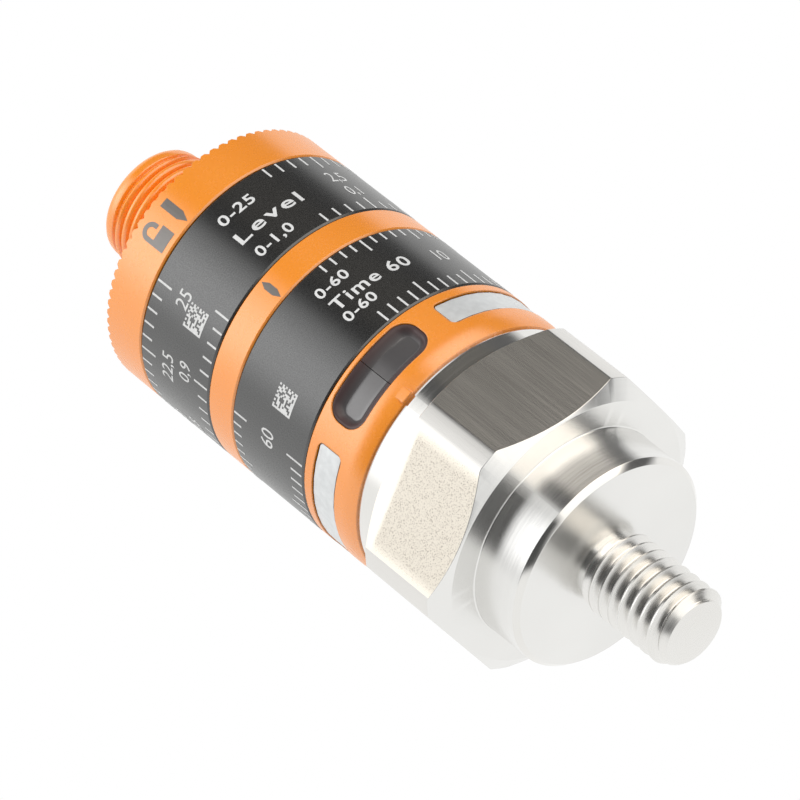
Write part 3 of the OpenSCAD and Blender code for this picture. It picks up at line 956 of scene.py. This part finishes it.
def delay_print():
    """Lower ring's print: a scale up to 60, with ticks along both edges."""
    bm = bmesh.new()
    scale_ticks(bm, DELAY_START, DELAY_PITCH, DELAY_TICKS, DELAY_TOP_Z - TICK_INSET, DELAY_UPPER_LENGTHS)
    scale_ticks(bm, DELAY_START, DELAY_PITCH, DELAY_TICKS, DELAY_Z + TICK_INSET, DELAY_LOWER_LENGTHS)
    for k in range(2 * LONG_EVERY, DELAY_TICKS + 1, 2 * LONG_EVERY):
        add_text(bm, str(k), DELAY_START + DELAY_PITCH * k, DELAY_Z + DELAY_ROW, DELAY_SIZE)
    add_words(bm, DELAY_Z, (
        ("0-60", 16.0, 7.34, 1.15, 3.6, 1.1),
        ("Time 60", 27.5, 5.24, 1.4, 8.8, 1.15),
        ("0-60", 16.0, 3.44, 1.15, 3.6, 1.1),
    ))
    add_field(bm, -30.5, DELAY_Z + 4.09)
    return printed("delay_print", bm)


def add_pointer(bm):
    """Pointer of the lock ring, with its tip near the upper scale."""
    middle = at(0.5)
    left, right = middle - at(2.0), middle + at(2.0)
    tip_z = LOCK_Z + 0.44
    shoulder_z = LOCK_Z + 1.54
    end_z = LOCK_Z + 3.89
    add_plate(bm, [
        (left, end_z), (left, shoulder_z), (middle, tip_z), (right, shoulder_z), (right, end_z),
    ])


ARCH_STEPS = 12


def add_padlock(bm):
    """Open padlock: a bow with one free end, and its body."""
    left, right = at(-15.4), at(-6.4)
    low, high = LOCK_Z + 0.69, LOCK_Z + 2.29
    free_z = LOCK_Z + 2.69
    arch_z = LOCK_Z + 3.04
    thick = 0.48
    outer_r = (right - left) / 2 - 0.12
    inner_r = outer_r - thick
    middle = left + outer_r
    turns = [math.pi * k / ARCH_STEPS for k in range(ARCH_STEPS + 1)]
    outer = [(middle - outer_r * math.cos(a), arch_z + outer_r * math.sin(a)) for a in turns]
    inner = [(middle - inner_r * math.cos(a), arch_z + inner_r * math.sin(a)) for a in turns]
    for k in range(ARCH_STEPS):
        add_plate(bm, [inner[k], inner[k + 1], outer[k + 1], outer[k]])
    for x, foot_z in ((left, high), (middle + inner_r, free_z)):
        add_block(bm, x, x + thick, foot_z, arch_z)
    add_block(bm, left, right, low, high)


def lock_marks():
    """Pointer and open padlock on the lock ring."""
    bm = bmesh.new()
    add_pointer(bm)
    add_padlock(bm)
    bmesh.ops.triangulate(bm, faces=bm.faces)
    slice_across(bm)
    return printed("lock_marks", bm)


def pointer_mark():
    """Long diamond on the pointer ring."""
    bm = bmesh.new()
    half = at(1.5)
    low, high = POINTER_Z + 0.31, POINTER_Z + 2.97
    side_low, side_high = POINTER_Z + 1.15, POINTER_Z + 2.25
    add_plate(bm, [
        (0, low), (half, side_low), (half, side_high), (0, high), (-half, side_high), (-half, side_low),
    ])
    slice_across(bm)
    return printed("pointer_mark", bm)


# Camera and stage

AIM = Vector((0, 0, AIM_Z * MM))


def aimed_from(position):
    """Placement of a camera or a lamp that looks at the part from a position."""
    turn = (AIM - position).to_track_quat("-Z", "Y").to_matrix().to_4x4()
    return Matrix.Translation(position) @ turn


def add_camera():
    """Camera at the photograph's viewing angle."""
    data = bpy.data.cameras.new("camera")
    data.lens = CAMERA_LENS
    data.sensor_width = CAMERA_SENSOR
    data.clip_end = 100
    data.shift_x = CAMERA_SHIFT[0]
    data.shift_y = CAMERA_SHIFT[1]
    camera = bpy.data.objects.new("camera", data)
    bpy.context.scene.collection.objects.link(camera)
    position = AIM + direction(CAMERA_AZIMUTH, CAMERA_ELEVATION) * CAMERA_DISTANCE * MM
    roll = Matrix.Rotation(math.radians(CAMERA_ROLL), 4, "Z")
    camera.matrix_world = aimed_from(position) @ roll
    bpy.context.scene.camera = camera


def add_lamp(name, azimuth, elevation, distance, size, power):
    """Soft square lamp, in metres and watts. Reflections don't show it, but the panels of the world."""
    data = bpy.data.lights.new(name, "AREA")
    data.shape = "SQUARE"
    data.size = size
    data.energy = power
    lamp = bpy.data.objects.new(name, data)
    bpy.context.scene.collection.objects.link(lamp)
    lamp.matrix_world = aimed_from(AIM + direction(azimuth, elevation) * distance)
    lamp.visible_glossy = False


def add_floor():
    """Pale floor under the stud, clear from below, where the camera stands."""
    half = FLOOR_HALF * MM
    z = (TIP_Z - FLOOR_GAP) * MM
    bm = bmesh.new()
    corners = ((-half, -half, z), (half, -half, z), (half, half, z), (-half, half, z))
    bm.faces.new([bm.verts.new(corner) for corner in corners])
    mesh = bpy.data.meshes.new("floor")
    bm.to_mesh(mesh)
    bm.free()
    floor = bpy.data.objects.new("floor", mesh)
    bpy.context.scene.collection.objects.link(floor)
    material = new_material("floor", Base_Color=(0.86, 0.86, 0.86, 1), Roughness=0.9)
    nodes = material.node_tree.nodes
    side = nodes.new("ShaderNodeNewGeometry")
    clear = nodes.new("ShaderNodeBsdfTransparent")
    mix = nodes.new("ShaderNodeMixShader")
    wire(material, side.outputs["Backfacing"], mix.inputs["Fac"])
    wire(material, shader_of(material).outputs["BSDF"], mix.inputs[1])
    wire(material, clear.outputs["BSDF"], mix.inputs[2])
    wire(material, mix.outputs["Shader"], nodes["Material Output"].inputs["Surface"])
    floor.data.materials.append(material)
    floor.visible_diffuse = False
    floor.visible_glossy = False
    floor.visible_transmission = False
    floor.visible_shadow = False


def sky_angles(world):
    """Azimuth from the front and elevation, in degrees, of the direction that a ray looks in."""
    coords = node_of(world, "ShaderNodeTexCoord")
    split = node_of(world, "ShaderNodeSeparateXYZ")
    ahead = node_of(world, "ShaderNodeMath", operation="MULTIPLY")
    ahead.inputs[1].default_value = -1
    turn = node_of(world, "ShaderNodeMath", operation="ARCTAN2")
    rise = node_of(world, "ShaderNodeMath", operation="ARCSINE")
    wire(world, coords.outputs["Generated"], split.inputs["Vector"])
    wire(world, split.outputs["Y"], ahead.inputs[0])
    wire(world, split.outputs["X"], turn.inputs[0])
    wire(world, ahead.outputs["Value"], turn.inputs[1])
    wire(world, split.outputs["Z"], rise.inputs[0])
    angles = []
    for angle in (turn, rise):
        degrees = node_of(world, "ShaderNodeMath", operation="DEGREES")
        wire(world, angle.outputs["Value"], degrees.inputs[0])
        angles.append(degrees.outputs["Value"])
    return angles


def band(world, angle, limits, soft):
    """Mask that is 1 between two angles and fades over soft degrees at each of them."""
    low, high = limits
    rise = spread(world, angle, 0, 1, low - soft / 2, low + soft / 2)
    fall = spread(world, angle, 1, 0, high - soft / 2, high + soft / 2)
    return product(world, rise, fall)


def add_panel(world, behind, angles, azimuths, elevations, soft, colour):
    """Studio panel over a range of azimuths and elevations, in front of what is behind."""
    across = band(world, angles[0], azimuths, soft[0])
    mask = product(world, across, band(world, angles[1], elevations, soft[1]))
    ground, panel, result = colour_mix(world, mask)
    wire(world, behind, ground)
    panel.default_value = (*colour, 1)
    return result


def studio(world):
    """Colours that reflections show: white walls, dark flags, a warm low panel and a soft key light.

    Each panel has its azimuths, its elevations, the width of its soft edges for both, and a colour.
    """
    angles = sky_angles(world)
    walls = node_of(world, "ShaderNodeRGB")
    walls.outputs["Color"].default_value = (*WALL_COLOUR, 1)
    colour = walls.outputs["Color"]
    for azimuths, elevations, soft, shade in (
        ((10, 104), (24, 62), (8, 8), (0.13, 0.125, 0.115)),
        ((12, 88), (-46, 24), (8, 8), (1.9, 1.78, 1.62)),
        ((4, 90), (-80, -44), (6, 6), (1.4, 1.38, 1.33)),
        ((10, 27), (-4, 62), (8, 8), (0.09, 0.09, 0.09)),
        ((78, 106), (5, 62), (12, 12), (0.12, 0.12, 0.12)),
        ((90, 117), (-50, 5), (8, 8), (0.12, 0.12, 0.12)),
        ((-64, 4), (-62, 27), (10, 8), (0.08, 0.08, 0.08)),
        ((-58, -8), (31, 62), (26, 16), (2.5, 2.5, 2.5)),
    ):
        colour = add_panel(world, colour, angles, azimuths, elevations, soft, shade)
    return colour


def add_world():
    """White to the camera, a studio in reflections, and an even grey as the light on the object."""
    world = bpy.data.worlds.new("world")
    bpy.context.scene.world = world
    world.use_nodes = True
    world.node_tree.nodes.clear()
    path = node_of(world, "ShaderNodeLightPath")
    light = node_of(world, "ShaderNodeBackground")
    light.inputs["Color"].default_value = (1, 1, 1, 1)
    light.inputs["Strength"].default_value = AMBIENT
    mirrored = node_of(world, "ShaderNodeBackground")
    wire(world, studio(world), mirrored.inputs["Color"])
    white = node_of(world, "ShaderNodeBackground")
    white.inputs["Color"].default_value = (1, 1, 1, 1)
    inner = node_of(world, "ShaderNodeMixShader")
    outer = node_of(world, "ShaderNodeMixShader")
    output = node_of(world, "ShaderNodeOutputWorld")
    wire(world, path.outputs["Is Glossy Ray"], inner.inputs["Fac"])
    wire(world, light.outputs["Background"], inner.inputs[1])
    wire(world, mirrored.outputs["Background"], inner.inputs[2])
    wire(world, path.outputs["Is Camera Ray"], outer.inputs["Fac"])
    wire(world, inner.outputs["Shader"], outer.inputs[1])
    wire(world, white.outputs["Background"], outer.inputs[2])
    wire(world, outer.outputs["Shader"], output.inputs["Surface"])


# Build

def dress(obj, material):
    """Gives a piece one material all over."""
    obj.data.materials.clear()
    obj.data.materials.append(material)


add_camera()
add_world()
add_floor()
add_lamp("key_lamp", -50, 35, 0.75, 0.55, 2.7)
add_lamp("fill_lamp", 45, 15, 0.9, 0.5, 3.3)
add_lamp("low_lamp", -10, -50, 1.0, 0.6, 0.5)

orange = orange_plastic("orange_plastic", 0.08)
soft_orange = orange_plastic("orange_housing", 0.2)
black = black_plastic()
steel = turned_steel()
ink = plain_material("white_print", (0.80, 0.80, 0.79), 0.5)
mark = plain_material("grey_print", (0.12, 0.10, 0.085), 0.3, IOR=2.1)
rubber = plain_material("seal_rubber", (0.03, 0.03, 0.03), 0.7)
lens = smoked_plastic("smoked_lens", Roughness=0.22, IOR=1.95)
lens_rim = smoked_plastic("smoked_rim", Roughness=0.35, IOR=1.4)
plate = plain_material("label_plate", (0.82, 0.84, 0.845), 0.42, Metallic=0.45)
# Painted shade: near black on the labels' cut edges, standing for the shadowed gap round each plate
label_gap_shade = plain_material("label_painted_gap_shade", (0.035, 0.022, 0.018), 0.5)
insulator = plain_material("insulator", (0.03, 0.03, 0.03), 0.5)
gold = plain_material("gold_contact", (0.83, 0.62, 0.22), 0.25, Metallic=1.0)
board = plain_material("board", (0.05, 0.22, 0.11), 0.4)
chip = plain_material("chip", (0.03, 0.03, 0.03), 0.5)
led = plain_material("led", (0.85, 0.87, 0.78), 0.2)
magnet = plain_material("magnet", (0.55, 0.55, 0.57), 0.25, Metallic=1.0)
spring = plain_material("spring_steel", (0.6, 0.6, 0.6), 0.3, Metallic=1.0)

MATERIALS = {
    "stainless": steel, "orange_plastic": orange, "black_plastic": black, "smoked_lens": lens,
    "label_plate": plate, "seal_rubber": rubber, "magnet": magnet, "spring_steel": spring,
    "insulator": insulator, "gold_contact": gold, "board": board, "chip": chip, "led": led,
}
for part in frame["record"]["subparts"]:
    dress(frame["nodes"][part["node"]], MATERIALS[part["material_slot"]])
dress(frame["nodes"]["housing"], soft_orange)

base = turned_base()
finish_base(base, {
    "turned": steel, "ground": ground_steel(), "etched": etched_steel(),
    "polished": smooth_steel("polished_steel", 0.15), "rolled": smooth_steel("rolled_steel", 0.27),
})
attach(base, "base")
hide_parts("hex_base")

head = threaded_head()
dress(head, orange)
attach(head, "base")
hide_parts("connector_head")

for node, side in (("power_lens", -1), ("output_lens", 1)):
    piece = window_lens(node, side)
    finish_lens(piece, lens, lens_rim)
    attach(piece, "base")
    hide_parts(node)

for node, side in (("power_label", -1), ("output_label", 1)):
    piece = label(node, side)
    finish_label(piece, plate, label_gap_shade)
    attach(piece, "base")
    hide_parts(node)

for piece, body, material in (
    (level_print(), "level_dial", ink), (delay_print(), "delay_dial", ink),
    (lock_marks(), "lock", mark), (pointer_mark(), "base", mark),
):
    dress(piece, material)
    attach(piece, body)

bpy.context.scene.view_settings.view_transform = "Standard"
